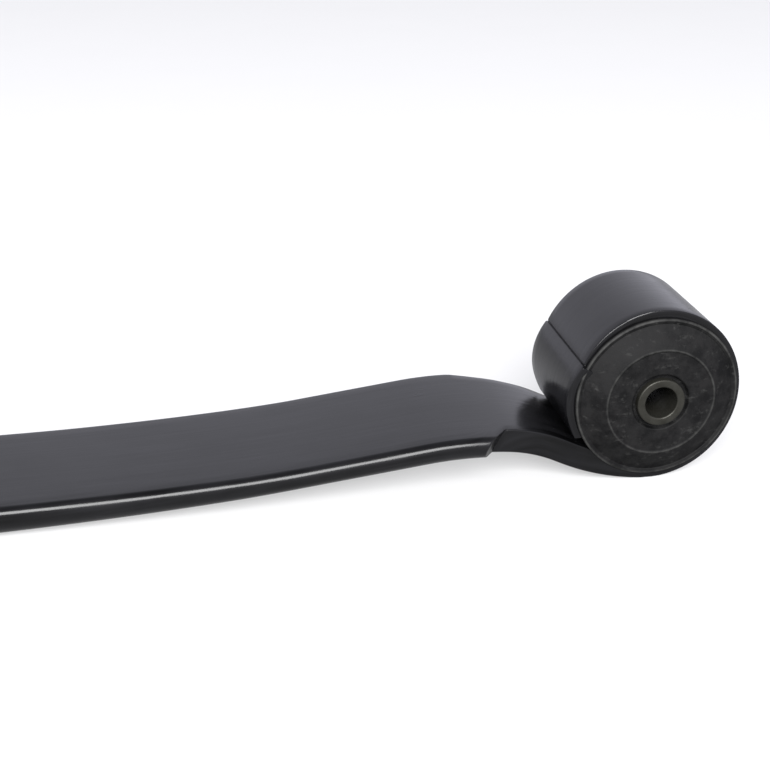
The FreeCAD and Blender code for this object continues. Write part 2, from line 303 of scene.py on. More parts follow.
@dataclass(frozen=True)
class BushRubber:
    """Moulded black rubber, matt, with pale scuffs and chalky wear on its raised rings."""

    dark: Colour = (0.0006, 0.0006, 0.0007)
    light: Colour = (0.0050, 0.0049, 0.0049)
    chalk: Colour = (0.036, 0.036, 0.034)
    sheen: float = 0.12

    def make(self) -> bpy.types.Material:
        """Makes the rubber. The wear attribute says where the chalky edges are.

        Returns:
            The finished material.
        """
        sheet = NodeSheet("bush_rubber")
        cloud = sheet.noise(sheet.place("Object", (130.0, 130.0, 130.0)), 6.0, 0.68)
        grain = sheet.noise(sheet.place("Object", (900.0, 900.0, 900.0)), 3.0, 0.6)
        turning = sheet.noise(sheet.place("UV", (3.0, 1500.0, 1.0)), 3.0, 0.55)
        scuff = sheet.noise(sheet.place("Object", (210.0, 60.0, 330.0)), 4.0, 0.7)
        body = sheet.blend(sheet.span(cloud, 0.40, 0.62, 0.0, 1.0), self.dark, self.light)
        scratched = sheet.blend(sheet.span(scuff, 0.57, 0.72, 0.0, 0.32), body, self.chalk)
        patchy = sheet.math("MULTIPLY", sheet.attribute("wear"), sheet.span(cloud, 0.38, 0.62, 0.25, 1.0))
        sheet.join(sheet.blend(patchy, scratched, self.chalk), sheet.shader.inputs["Base Color"])
        sheet.join(sheet.span(cloud, 0.3, 0.7, 0.60, 0.76), sheet.shader.inputs["Roughness"])
        sheet.shader.inputs["Specular IOR Level"].default_value = self.sheen
        rings = sheet.bump(turning, 0.0001, 0.45)
        pits = sheet.bump(grain, 0.00012, 0.35, rings)
        sheet.join(sheet.bump(cloud, 0.0006, 0.35, pits), sheet.shader.inputs["Normal"])
        return sheet.material


@dataclass(frozen=True)
class TurnedSteel:
    """Bare turned steel: fine lathe rings, a dull, slightly yellowed film, and painted shade that darkens
    the bore deep inside.
    """

    name: str = "sleeve_steel"
    clean: Colour = (0.027, 0.0265, 0.0225)
    film: Colour = (0.015, 0.0145, 0.0115)
    # painted shade: the near-black that darkens the bore deep inside, where little light reaches
    soot: Colour = (0.003, 0.003, 0.003)
    metallic: float = 0.6
    sheen: float = 0.25

    def make(self) -> bpy.types.Material:
        """Makes the steel. The wear attribute says where the painted shade in the bore is.

        Returns:
            The finished material.
        """
        sheet = NodeSheet(self.name)
        film = sheet.noise(sheet.place("Object", (160.0, 160.0, 160.0)), 5.0, 0.6)
        rings = sheet.noise(sheet.place("UV", (2.0, 6000.0, 1.0)), 2.0, 0.5)
        turned = sheet.blend(sheet.span(film, 0.35, 0.66, 0.0, 1.0), self.clean, self.film)
        # painted shade: the steel is blended to near-black deep in the bore, where little light gets in
        shaded_bore = sheet.blend(sheet.attribute("wear"), turned, self.soot)
        sheet.join(shaded_bore, sheet.shader.inputs["Base Color"])
        sheet.shader.inputs["Specular IOR Level"].default_value = self.sheen
        sheet.shader.inputs["Metallic"].default_value = self.metallic
        sheet.join(sheet.span(film, 0.3, 0.7, 0.36, 0.52), sheet.shader.inputs["Roughness"])
        sheet.join(sheet.bump(rings, 0.00004, 0.5), sheet.shader.inputs["Normal"])
        return sheet.material


# ---------------------------------------------------------------- mesh helpers


def new_piece(name: str, points: np.ndarray, faces: list,
              material: bpy.types.Material) -> bpy.types.Object:
    """A mesh object at the origin with that material.

    Args:
        name: the piece's name.
        points: its vertices in millimetres, N by 3.
        faces: its faces as lists of vertex numbers.
        material: its finish.

    Returns:
        The new object, linked to the scene.
    """
    mesh = bpy.data.meshes.new(name)
    mesh.from_pydata(points * MM, [], faces)
    mesh.materials.append(material)
    piece = bpy.data.objects.new(name, mesh)
    bpy.context.scene.collection.objects.link(piece)
    return piece


def soften(mesh: bpy.types.Mesh, corner: float) -> None:
    """Shades a mesh smooth, apart from its sharp corners.

    Args:
        mesh: the mesh.
        corner: the angle in degrees from which a corner counts as sharp.
    """
    mesh.polygons.foreach_set("use_smooth", np.ones(len(mesh.polygons), bool))
    mesh.set_sharp_from_angle(angle=math.radians(corner))
    mesh.update()


def grid_faces(rows: int, columns: int, closed_rows: bool = False) -> np.ndarray:
    """The quads of a grid whose columns close round.

    Args:
        rows: the number of loops.
        columns: the number of points in each loop.
        closed_rows: whether the last loop joins the first.

    Returns:
        Vertex numbers, one row of four per quad: (i, j), (i+1, j), (i+1, j+1), (i, j+1).
    """
    first = np.arange(rows if closed_rows else rows - 1)[:, None]
    column = np.arange(columns)[None, :]
    after, beside = (first + 1) % rows, (column + 1) % columns
    corners = [first * columns + column, after * columns + column,
               after * columns + beside, first * columns + beside]
    return np.stack([np.broadcast_to(c, (len(first), columns)) for c in corners], -1).reshape(-1, 4)


def map_grid(mesh: bpy.types.Mesh, faces: int, along: np.ndarray, around: np.ndarray) -> None:
    """Writes a UV map for the first faces of a grid, so that it doesn't smear over the seam.

    Args:
        mesh: the mesh, its first faces in grid order.
        faces: how many faces belong to the grid.
        along: U in metres for each face corner, faces by 4.
        around: V in metres for each face corner, faces by 4.
    """
    layer = mesh.uv_layers.new(name="UVMap")
    values = np.zeros((len(mesh.loops), 2), np.float32)
    values[: faces * 4, 0] = along.ravel()
    values[: faces * 4, 1] = around.ravel()
    layer.data.foreach_set("uv", values.ravel())


def ease(value: np.ndarray, start: float, end: float) -> np.ndarray:
    """A smooth step: 0 before start, 1 after end, and 3t^2 - 2t^3 between.

    Args:
        value: where it is read.
        start: where it leaves 0.
        end: where it reaches 1.

    Returns:
        The step's values.
    """
    share = np.clip((value - start) / (end - start), 0.0, 1.0)
    return share * share * (3 - 2 * share)


# ---------------------------------------------------------------- the leaf


@dataclass
class Leaf:
    """The tapered leaf, in millimetres and degrees.

    Its centre line is straight runs and arcs, and its ends are rolled into eyes. Angles round an
    eye start at +X and run anticlockwise, seen from -Y.
    """

    eye: np.ndarray
    half_width: float
    paint: bpy.types.Material
    eye_half_width: float = 30.5
    seat_half_length: float = 70.0
    seat_thickness: float = 16.0
    neck_thickness: float = 11.9
    strap_thickness: float = 12.2
    neck_from_bend: float = 130.0
    strap_from_bend: float = 35.0
    # the arcs after the seat: radius and the heading they end at, in degrees; None is the straight
    arcs: tuple = ((1938.0, 4.4), (926.0, 7.0), None, (184.0, -6.0), (76.5, -26.1))
    strap_length: float = 4.3
    cradle: tuple[float, float] = (113.0, -5.0)
    bore: float = 32.5
    # how much thinner the roll is on the side away from the seat, on the seat's side and below
    side_loss: float = 1.55
    back_loss: float = 2.8
    keel_loss: float = 0.2
    # degrees past the roll's start where keel_loss is full, starts to fade and is gone
    keel_span: tuple[float, float, float] = (3.0, 20.0, 55.0)
    crease: float = 153.0
    crease_width: float = 0.8
    crease_step: float = 0.55
    groove: float = 0.42
    groove_width: float = 0.5
    tip_crown: float = 45.2
    crown_angle: float = 182.0
    tip: float = 206.0
    tip_fall: float = 0.8
    tip_slant: float = 10.0
    ear: float = 2.2
    # degrees past the crease where the ear begins, is full, starts to fade and is gone
    ear_span: tuple[float, float, float, float] = (-0.2, 1.6, 2.0, 23.0)
    nose_top: float = 4.2
    nose_bottom: float = 8.0
    corner: float = 0.6
    # each trim's start before the eye's centre, its length, and how far its lower edge leans back
    right_trim: tuple[float, float, float] = (84.0, 8.5, 5.5)
    left_trim: tuple[float, float, float] = (96.0, 39.0, 0.0)
    left_hollow: float = 1.5
    trim_softness: float = 0.5
    unevenness: float = 0.018
    # how far from the leaf's middle the unevenness begins and is full
    uneven_span: tuple[float, float] = (80.0, 120.0)
    seat_hole: float = 6.25
    # how many points a loop has across a face and down each half of a side
    across: int = 11
    quarter: int = 10
    # how many rows the seat, the taper, the roll and the tip have
    seat_rows: int = 14
    taper_rows: int = 80
    roll_rows: int = 165
    tip_rows: int = 50
    # the rows' spacing along the trims, how far it is kept, and the spacing after it
    fine_step: float = 0.32
    fine_length: float = 48.0
    strap_step: float = 0.9
    # the rows' spacing in degrees on either side of the crease, and how far it is kept
    crease_turn: float = 0.15
    crease_zone: float = 3.0
    sharp_corner: float = 38.0
    # the centre line's bends and its fine points
    knots: tuple[np.ndarray, np.ndarray] = field(init=False)
    fine_run: np.ndarray = field(init=False)
    fine_x: np.ndarray = field(init=False)
    fine_z: np.ndarray = field(init=False)
    bend_run: float = field(init=False)
    roll_run: float = field(init=False)
    # each row's run, x, upper and lower point, and angle past the eye's +X, or -1 on the bar
    run: np.ndarray = field(init=False)
    row_x: np.ndarray = field(init=False)
    upper: np.ndarray = field(init=False)
    lower: np.ndarray = field(init=False)
    past: np.ndarray = field(init=False)

    def centre_line(self) -> None:
        """Works out run, x, z and heading from the seat's middle to the start of the roll.

        The heading falls or rises evenly along each arc, so it is a broken line over the run;
        x and z are the running sums of its cosine and sine. The straight's length is what puts
        the roll's centre over the eye.
        """
        runs, headings = [0.0, self.seat_half_length], [0.0, 0.0]
        straight = 0
        for arc in self.arcs:
            if arc is None:
                straight = len(runs)
                runs.append(runs[-1])
                headings.append(headings[-1])
                continue
            radius, degrees = arc
            turn = math.radians(degrees) - headings[-1]
            runs.append(runs[-1] + abs(turn) * radius)
            headings.append(math.radians(degrees))
        bend = len(runs) - 1
        runs.append(runs[-1] + self.strap_length)
        headings.append(headings[-1])
        turn = math.radians(self.cradle[1]) - headings[-1]
        runs.append(runs[-1] + abs(turn) * self.cradle[0])
        headings.append(math.radians(self.cradle[1]))
        runs = np.array(runs)
        for _ in range(2):
            x, z = self.trace(runs, headings)
            roll = self.bore + self.strap_thickness / 2
            missing = self.eye[0] - (x[-1] - roll * math.sin(headings[-1]))
            runs[straight:] += missing / math.cos(headings[straight])
        self.knots = (runs, np.array(headings))
        self.bend_run = runs[bend]
        self.roll_run = runs[-1]

    def trace(self, runs: np.ndarray, headings: list) -> tuple[np.ndarray, np.ndarray]:
        """Follows the centre line in steps of 0.1 mm, by the trapezium rule, and keeps it.

        Args:
            runs: the distances at which the heading changes its course.
            headings: the heading there, in radians.

        Returns:
            x and z along the line.
        """
        step_length = 0.1
        self.fine_run = np.linspace(0, runs[-1], int(runs[-1] / step_length))
        heading = np.interp(self.fine_run, runs, headings)
        step = np.diff(self.fine_run)
        x = np.concatenate([[0], np.cumsum(step * (np.cos(heading[1:]) + np.cos(heading[:-1])) / 2)])
        z = np.concatenate([[0], np.cumsum(step * (np.sin(heading[1:]) + np.sin(heading[:-1])) / 2)])
        self.fine_x, self.fine_z = x, z - self.seat_thickness / 2
        return self.fine_x, self.fine_z

    def thickness(self, run: np.ndarray) -> np.ndarray:
        """The bar's thickness: an even taper from the seat to the neck, then eased up to the strap.

        Args:
            run: the distance along the centre line.

        Returns:
            The thickness there.
        """
        left = self.bend_run - run
        taper = np.clip((left - self.neck_from_bend)
                        / (self.bend_run - self.seat_half_length - self.neck_from_bend), 0, 1)
        swell = ease(-left, -self.neck_from_bend, -self.strap_from_bend)
        return (self.neck_thickness + (self.seat_thickness - self.neck_thickness) * taper
                + (self.strap_thickness - self.neck_thickness) * swell)

    def outer_radius(self, angle: np.ndarray) -> np.ndarray:
        """The roll's outer radius.

        The full radius less side_loss times cos squared on the side away from the seat, less
        back_loss times cos squared on the seat's side, and less keel_loss under the eye. At the
        crease it dips into a groove, steps out by crease_step, swells as a quarter sine to the
        crown of the tip and falls a little to its end.

        Args:
            angle: the angle round the eye; past the top it goes on over 360.

        Returns:
            The radius there.
        """
        full = self.bore + self.strap_thickness
        cos = np.cos(np.radians(angle))
        loss = np.where(cos > 0, self.side_loss, self.back_loss)
        start = 270.0 + self.cradle[1]
        full_at, fade_at, gone_at = (start + span for span in self.keel_span)
        keel = self.keel_loss * ease(angle, start, full_at) * (1 - ease(angle, fade_at, gone_at))
        radius = full - loss * cos * cos - keel
        at_crease = full - self.back_loss * math.cos(math.radians(self.crease)) ** 2
        past = angle - 360.0
        step = self.crease_step * ease(past, self.crease, self.crease + self.crease_width)
        swell = (self.tip_crown - at_crease - self.crease_step) * np.sin(
            np.clip((past - self.crease) / (self.crown_angle - self.crease), 0, 1) * math.pi / 2)
        fall = self.tip_fall * ease(past, self.crown_angle, self.tip)
        dip = self.groove * np.exp(-(((past - self.crease) / self.groove_width) ** 2))
        return np.where(past > self.crease, at_crease + step + swell - fall, radius) - dip

    def edges(self) -> None:
        """The upper and lower edge of the side view, row by row, from the seat to the tip.

        On the bar a row is the centre line's point plus and minus half the thickness along its
        normal. On the roll the upper edge is the bore and the lower edge the outer radius; the
        upper edge runs ahead of the lower one towards the tip, by tip_slant at its end.
        """
        before = 5.0
        trim_begin = self.eye[0] - self.left_trim[0] - before
        fine_from = np.interp(trim_begin, self.fine_x, self.fine_run)
        run = np.concatenate([
            np.linspace(0, self.seat_half_length, self.seat_rows, endpoint=False),
            np.linspace(self.seat_half_length, fine_from, self.taper_rows, endpoint=False),
            np.arange(fine_from, fine_from + self.fine_length, self.fine_step),
            np.arange(fine_from + self.fine_length, self.roll_run, self.strap_step),
        ])
        heading = np.interp(run, *self.knots)
        half = self.thickness(run) / 2
        x, z = (np.interp(run, self.fine_run, fine) for fine in (self.fine_x, self.fine_z))
        normal = np.stack([-np.sin(heading), np.cos(heading)], -1)
        middle = np.stack([x, z], -1)
        start = 270.0 + self.cradle[1]
        crease = 360.0 + self.crease
        zone = self.crease_zone
        angle = np.concatenate([
            np.linspace(start, crease - zone, self.roll_rows, endpoint=False),
            np.arange(crease - zone, crease + zone, self.crease_turn),
            np.linspace(crease + zone, 360.0 + self.tip, self.tip_rows),
        ])
        inner = angle + self.tip_slant * ease(angle, crease, 360.0 + self.tip)
        spoke = [np.stack([np.cos(np.radians(a)), np.sin(np.radians(a))], -1) for a in (inner, angle)]
        centre = self.eye[[0, 2]]
        self.upper = np.concatenate([middle + normal * half[:, None], centre + self.bore * spoke[0]])
        self.lower = np.concatenate([middle - normal * half[:, None],
                                     centre + self.outer_radius(angle)[:, None] * spoke[1]])
        reach = (self.bore + self.strap_thickness / 2) * np.radians(angle - start)
        self.run = np.concatenate([run, self.roll_run + reach])
        self.row_x = np.concatenate([x, np.full(len(angle), self.eye[0])])
        self.past = np.concatenate([np.full(len(run), -1.0), angle - 360.0])

    def side_reach(self, side: Side, depth: np.ndarray) -> np.ndarray:
        """How far the trim lets a side stand out.

        The eye's half width, plus a power of the share of the trim still to come: flat on the
        right side, hollow on the left. The right one leans, so that its lower edge lies further
        from the eye. On the right the bar's end flares out past the crease into a small ear that
        tapers off.

        Args:
            side: which side.
            depth: the depth share of each point, rows by points.

        Returns:
            The distance from the middle plane, rows by points.
        """
        start, length, lean = self.right_trim if side is Side.RIGHT else self.left_trim
        end = self.eye[0] - start + length - lean * depth
        to_come = np.maximum(end - self.row_x[:, None], 0) / length
        hollow = 1.0 if side is Side.RIGHT else self.left_hollow
        reach = self.eye_half_width + (self.half_width - self.eye_half_width) * to_come**hollow
        past = self.past[:, None] - self.crease
        height = self.ear if side is Side.RIGHT else 0.0
        begin, full, fade, gone = self.ear_span
        return reach + height * ease(past, begin, full) * np.clip((gone - past) / (gone - fade), 0, 1)

    def side_curve(self, side: Side) -> tuple[np.ndarray, np.ndarray]:
        """One side of every row, from the upper face down to the lower face.

        Two quarter ellipses make the bar's nose: half width less e (1 - sin t) against the depth
        v (1 - cos t), with e = v = nose_top above and e = nose_bottom and the rest of the depth
        below. Where the nose stands out further than the trim, the trim cuts it off, by a
        smoothed minimum, with a quarter circle of the corner's radius at both faces.

        Args:
            side: which side.

        Returns:
            The distance from the middle plane, and the depth share from 0 (upper) to 1 (lower),
            both rows by points.
        """
        turn = np.linspace(0, math.pi / 2, self.quarter)
        thick = np.linalg.norm(self.upper - self.lower, axis=1)[:, None]
        level = np.zeros_like(thick)
        top = (self.half_width - self.nose_top * (1 - np.sin(turn)) + level,
               self.nose_top * (1 - np.cos(turn)) + level)
        back = turn[::-1][1:]
        low = (self.half_width - self.nose_bottom * (1 - np.sin(back)) + level,
               thick - (thick - self.nose_top) * (1 - np.cos(back)))
        out = np.concatenate([top[0], low[0]], 1)
        deep = np.concatenate([top[1], low[1]], 1)
        reach = self.side_reach(side, deep / thick)
        near_face = np.minimum(deep, thick - deep)
        sunk = 1 - np.clip(near_face / self.corner, 0, 1)
        reach = reach - self.corner * (1 - np.sqrt(1 - sunk * sunk))
        cut = 0.5 * (out + reach - np.hypot(out - reach, self.trim_softness / 2))
        return cut, deep / thick

    def loops(self) -> tuple[np.ndarray, np.ndarray]:
        """Every row's closed loop: upper face, left side, lower face, right side.

        Returns:
            Points in millimetres, rows by loop points by 3, and the distance round each loop.
        """
        left, left_deep = self.side_curve(Side.LEFT)
        right, right_deep = self.side_curve(Side.RIGHT)
        share = np.linspace(0, 1, self.across + 2)[1:-1]
        upper = -right[:, :1] + (left[:, :1] + right[:, :1]) * share
        lower = left[:, -1:] - (left[:, -1:] + right[:, -1:]) * share
        flat = np.zeros_like(upper)
        y = np.concatenate([upper, left, lower, -right[:, ::-1]], 1)
        deep = np.concatenate([flat, left_deep, flat + 1, right_deep[:, ::-1]], 1)
        plane = self.upper[:, None, :] * (1 - deep[..., None]) + self.lower[:, None, :] * deep[..., None]
        points = np.stack([plane[..., 0], y, plane[..., 1]], -1)
        steps = np.linalg.norm(np.diff(points, axis=1, append=points[:, :1]), axis=2)
        around = np.concatenate([np.zeros((len(points), 1)), np.cumsum(steps, 1)], 1)
        return points, around

    def uneven(self, points: np.ndarray) -> np.ndarray:
        """Rolled steel isn't quite flat: gives the bar slow height waves, a sum of three sines.

        Args:
            points: the leaf's vertices.

        Returns:
            The vertices moved up or down by a few hundredths, apart from those of the seat.
        """
        x, y = points[:, 0], points[:, 1]
        wave = (np.sin(x / 17.0 + y / 23.0) + np.sin(x / 41.0 - y / 31.0 + 1.3)
                + 0.6 * np.sin(x / 9.0 + 2.0 * np.sin(y / 19.0)))
        moved = points.copy()
        moved[:, 2] += self.unevenness * wave * ease(np.abs(x), *self.uneven_span)
        return moved

    def build(self) -> bpy.types.Object:
        """Builds the whole leaf from its half and the half's mirror image, with the seat hole.

        Returns:
            The finished piece.
        """
        self.centre_line()
        self.edges()
        half, around = self.loops()
        other = (half * np.array([-1.0, 1.0, 1.0]))[:0:-1]
        points = np.concatenate([other, half])
        rows, columns = points.shape[:2]
        run = np.concatenate([-self.run[:0:-1], self.run])
        around = np.concatenate([around[:0:-1], around])
        quads = grid_faces(rows, columns)
        caps = [list(range(columns)), list(range(rows * columns - 1, (rows - 1) * columns - 1, -1))]
        faces = quads.tolist() + caps
        piece = new_piece("leaf_forged", self.uneven(points.reshape(-1, 3)), faces, self.paint)
        first = np.repeat(np.arange(rows - 1), columns)
        column = np.tile(np.arange(columns), rows - 1)
        along = np.stack([run[first], run[first + 1], run[first + 1], run[first]], -1) * MM
        turned = np.stack([around[first, column], around[first + 1, column],
                           around[first + 1, column + 1], around[first, column + 1]], -1) * MM
        map_grid(piece.data, len(quads), along, turned)
        drill(piece, self.seat_hole, self.seat_thickness)
        soften(piece.data, self.sharp_corner)
        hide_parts("leaf")
        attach(piece, "leaf")
        return piece


def drill(piece: bpy.types.Object, radius: float, depth: float,
          sink: float = 0.7, count: int = 96) -> None:
    """Drills the seat hole, with a small countersink at each face.

    The cutter is a turned profile: wide at its ends, the hole's radius between. Its boolean is
    applied at once, so the piece keeps no modifier.

    Args:
        piece: the leaf.
        radius: the hole's radius.
        depth: the leaf's thickness there.
        sink: the countersink's depth.
        count: how many corners the round hole has.
    """
    past = 2.0
    wide = radius + sink + past
    profile = ((wide, past), (radius, -sink), (radius, -depth + sink), (wide, -depth - past))
    turn = np.linspace(0, 2 * math.pi, count, endpoint=False)
    ring = np.stack([np.cos(turn), np.sin(turn)], -1)
    points = np.concatenate([np.concatenate([ring * r, np.full((count, 1), z)], 1) for r, z in profile])
    faces = grid_faces(len(profile), count).tolist()
    last = (len(profile) - 1) * count
    faces += [list(range(count)), list(range(last + count - 1, last - 1, -1))]
    cutter = new_piece("seat_drill", points, faces, piece.data.materials[0])
    modifier = piece.modifiers.new("SeatHole", "BOOLEAN")
    modifier.operation = "DIFFERENCE"
    modifier.solver = "EXACT"
    modifier.object = cutter
    graph = bpy.context.evaluated_depsgraph_get()
    cut = bpy.data.meshes.new_from_object(piece.evaluated_get(graph))
    piece.modifiers.clear()
    piece.data = cut
    bpy.data.objects.remove(cutter)


# ---------------------------------------------------------------- the bushes


@dataclass
class TurnedProfile:
    """A closed profile (radius, distance along Y, wear and painted shade) turned about an eye's axis.
    Millimetres.
    """

    points: np.ndarray
    segments: int = 192
    # the length that the UV map gives one turn, whatever the radius
    round_length: float = 200.0

    def turn(self, centre: np.ndarray, side: float,
             ripple: Ripple | None = None) -> tuple[np.ndarray, np.ndarray]:
        """The turned surface: radius times (cos, sin) of the angle in XZ, the distance along Y.

        Args:
            centre: the eye's centre.
            side: 1 or -1, which way the distance runs.
            ripple: a function of angle, radius and distance that returns an extra distance.

        Returns:
            The vertices and the faces.
        """
        angle = np.linspace(0, 2 * math.pi, self.segments, endpoint=False)[None, :]
        radius, along = self.points[:, :1], self.points[:, 1:2]
        extra = 0.0 if ripple is None else ripple(angle, radius, along)
        x = centre[0] + radius * np.cos(angle)
        z = centre[2] + radius * np.sin(angle)
        y = centre[1] + side * (along + extra) + 0 * angle
        faces = grid_faces(len(self.points), self.segments, closed_rows=True)
        if side > 0:
            faces = faces[:, ::-1]
        return np.stack([x, y, z], -1).reshape(-1, 3), faces

    def dress(self, mesh: bpy.types.Mesh, flipped: bool) -> None:
        """Writes the UV map, round and along the profile in metres, and the wear attribute: wear on the
        rubber, painted shade in the sleeve's bore.

        Args:
            mesh: the turned mesh, its points and faces in grid order.
            flipped: whether its faces run the other way round.
        """
        length = np.concatenate([[0], np.cumsum(np.linalg.norm(
            np.diff(self.points[:, :2], axis=0, append=self.points[:1, :2]), axis=1))])
        row = np.repeat(np.arange(len(self.points)), self.segments)
        column = np.tile(np.arange(self.segments), len(self.points))
        step = self.round_length * MM / self.segments
        around = np.stack([column, column, column + 1, column + 1], -1) * step
        along = np.stack([length[row], length[row + 1], length[row + 1], length[row]], -1) * MM
        if flipped:
            around, along = around[:, ::-1], along[:, ::-1]
        map_grid(mesh, len(row), around, along)
        # the attribute holds chalky wear on the rubber and painted shade deep in the sleeve's bore
        wear = mesh.attributes.new("wear", "FLOAT", "POINT")
        values = np.repeat(self.points[:, 2], self.segments).astype(np.float32)
        wear.data.foreach_set("value", values)


def round_corner(centre: tuple[float, float], radius: float, start: float, end: float,
                 count: int = 6) -> np.ndarray:
    """An arc in the profile plane: the centre plus the radius times (cos, sin) of the angle.

    Args:
        centre: the arc's centre, radius and distance along Y.
        radius: the arc's own radius.
        start: the first angle, in degrees.
        end: the last angle, in degrees.
        count: how many points it has.

    Returns:
        The points, count by 2.
    """
    angle = np.radians(np.linspace(start, end, count))
    return np.stack([centre[0] + radius * np.cos(angle), centre[1] + radius * np.sin(angle)], -1)


@dataclass
class Bush:
    """The bush of one eye, in millimetres.

    Two flanged rubber halves meet near the eye's middle, each in a steel can, on one inner
    sleeve. The rim's bead, groove and wear each have a distance inside the rim, a half width and
    a height, and the ring's wear has the last two.
    """

    end: End
    rubber: bpy.types.Material
    steel: bpy.types.Material
    can: bpy.types.Material
    sleeve_bore: float = 8.0
    sleeve_outside: float = 12.0
    sleeve_half: float = 38.5
    sleeve_round: float = 0.8
    sleeve_segments: int = 128
    # how far into the bore the painted shade begins and is full
    soot_span: tuple[float, float] = (9.0, 24.0)
    clearance: float = 0.05
    can_bore: float = 30.5
    chamfer: float = 0.6
    face: float = 30.5
    half_gap: float = 0.5
    rim: float = 41.1
    rim_thickness: float = 1.9
    rim_round: float = 0.75
    rim_bead: tuple[float, float, float] = (1.2, 0.7, 0.22)
    rim_groove: tuple[float, float, float] = (2.7, 0.7, 0.30)
    rim_wear: tuple[float, float, float] = (0.7, 0.8, 0.75)
    # how far inside the rim the cone's foot is and outside the ring its top, and its domed share
    cone_foot: float = 3.4
    cone_top: float = 1.0
    dome: float = 0.15
    ring: float = 27.0
    bead: float = 0.5
    bead_half: float = 1.1
    bead_fade: float = 0.28
    ring_wear: tuple[float, float] = (0.8, 0.55)
    crown: float = 7.0
    moat: float = 14.25
    moat_depth: float = 2.2
    face_rows: int = 150
    sharp_corner: float = 50.0
    centre: np.ndarray = field(init=False)

    def __post_init__(self) -> None:
        """Finds the eye's centre."""
        self.centre = joint_place(self.end)

    def rubber_profile(self) -> TurnedProfile:
        """The rubber half's section, from the inside out, round the flange and back to the sleeve.

        The face between the rim and the ring is a shallow cone; beads (a raised cosine) stand on
        it at the rim and at the ring, with a fine groove inside the rim's bead. Inside the ring
        the face is flat, and round the sleeve it steps down into a moat.

        Returns:
            The section with its wear.
        """
        rim_face = self.face + self.rim_thickness
        crown = self.face + self.crown
        inner = self.sleeve_outside + self.clearance
        edge = self.rim_round
        inside = np.array([
            [inner, self.half_gap], [self.can_bore - self.chamfer, self.half_gap],
            [self.can_bore, self.half_gap + self.chamfer], [self.can_bore, self.face],
            [self.rim - edge, self.face],
        ])
        under = round_corner((self.rim - edge, self.face + edge), edge, -80, 0)
        over = round_corner((self.rim - edge, rim_face - edge), edge, 0, 90)
        radius = np.linspace(self.rim - edge - 0.1, self.moat + 0.6, self.face_rows)
        foot, top = self.rim - self.cone_foot, self.ring + self.cone_top
        cone = np.clip((foot - radius) / (foot - top), 0, 1)
        domed = (1 - self.dome) * cone + self.dome * np.sin(cone * math.pi / 2)
        level = rim_face + (crown - rim_face) * domed
        level += self.bump_from_rim(radius, *self.rim_bead)
        level -= self.bump_from_rim(radius, *self.rim_groove)
        level += self.bump_at(radius, self.ring, self.bead_half, self.bead)
        face = np.stack([radius, level], -1)
        floor = crown - self.moat_depth
        moat = np.array([
            [self.moat + 0.25, crown - 0.12], [self.moat, crown - 0.5], [self.moat - 0.25, floor + 0.5],
            [self.moat - 0.6, floor + 0.1], [self.moat - 1.0, floor], [inner, floor],
        ])
        line = np.concatenate([inside, under, over, face, moat])
        on_rim, on_cone = line[:, 1] > self.face + 0.9, line[:, 1] > self.face + 3
        wear = (self.bump_from_rim(line[:, 0], *self.rim_wear) * on_rim
                + self.bump_at(line[:, 0], self.ring, *self.ring_wear) * on_cone)
        return TurnedProfile(np.concatenate([line, wear[:, None]], 1))

    @staticmethod
    def bump_at(radius: np.ndarray, middle: float, half: float, height: float) -> np.ndarray:
        """A raised cosine: half its height times 1 plus the cosine, over its half width.

        Args:
            radius: where it is read.
            middle: the radius of its top.
            half: its half width.
            height: its height.

        Returns:
            Its height at each radius.
        """
        near = np.clip(np.abs(radius - middle) / half, 0, 1)
        return height * 0.5 * (1 + np.cos(math.pi * near))

    def bump_from_rim(self, radius: np.ndarray, inset: float, half: float, height: float) -> np.ndarray:
        """A raised cosine whose middle lies that far inside the rim."""
        return self.bump_at(radius, self.rim - inset, half, height)

    def ripple(self, angle: np.ndarray, radius: np.ndarray, along: np.ndarray) -> np.ndarray:
        """Slack moulding: the face rises and falls by a tenth or two, and the ring's bead fades in places.

        Two slow sines of the angle, less the bead's bump times a share that wanders from 0 to 1.

        Args:
            angle: the angle round the eye, in radians.
            radius: the profile's radius.
            along: the profile's distance along Y.

        Returns:
            The extra distance along Y. It is 0 everywhere but on the face outside the moat.
        """
        shown = ease(along, self.face + 0.8, self.face + 2.0) * ease(
            radius, self.moat + 0.75, self.moat + 3.75)
        slow = 0.10 * np.sin(2 * angle + 0.7) + 0.06 * np.sin(5 * angle + radius / 4)
        faded = 0.5 - 0.5 * np.sin(angle + 0.4 + np.sin(3 * angle))
        return shown * (slow - self.bump_at(radius, self.ring, self.bead_half, self.bead_fade) * faded)

    def build_rubber(self, side: Side) -> bpy.types.Object:
        """Builds one rubber half and puts it in place of its plain solid.

        Args:
            side: which half.

        Returns:
            The finished piece.
        """
        profile = self.rubber_profile()
        points, faces = profile.turn(self.centre, side.value, self.ripple)
        node = f"{self.end.word}_{side.word}_rubber"
        piece = new_piece(node + "_moulded", points, faces.tolist(), self.rubber)
        profile.dress(piece.data, side is Side.LEFT)
        soften(piece.data, self.sharp_corner)
        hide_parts(node)
        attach(piece, "leaf")
        return piece

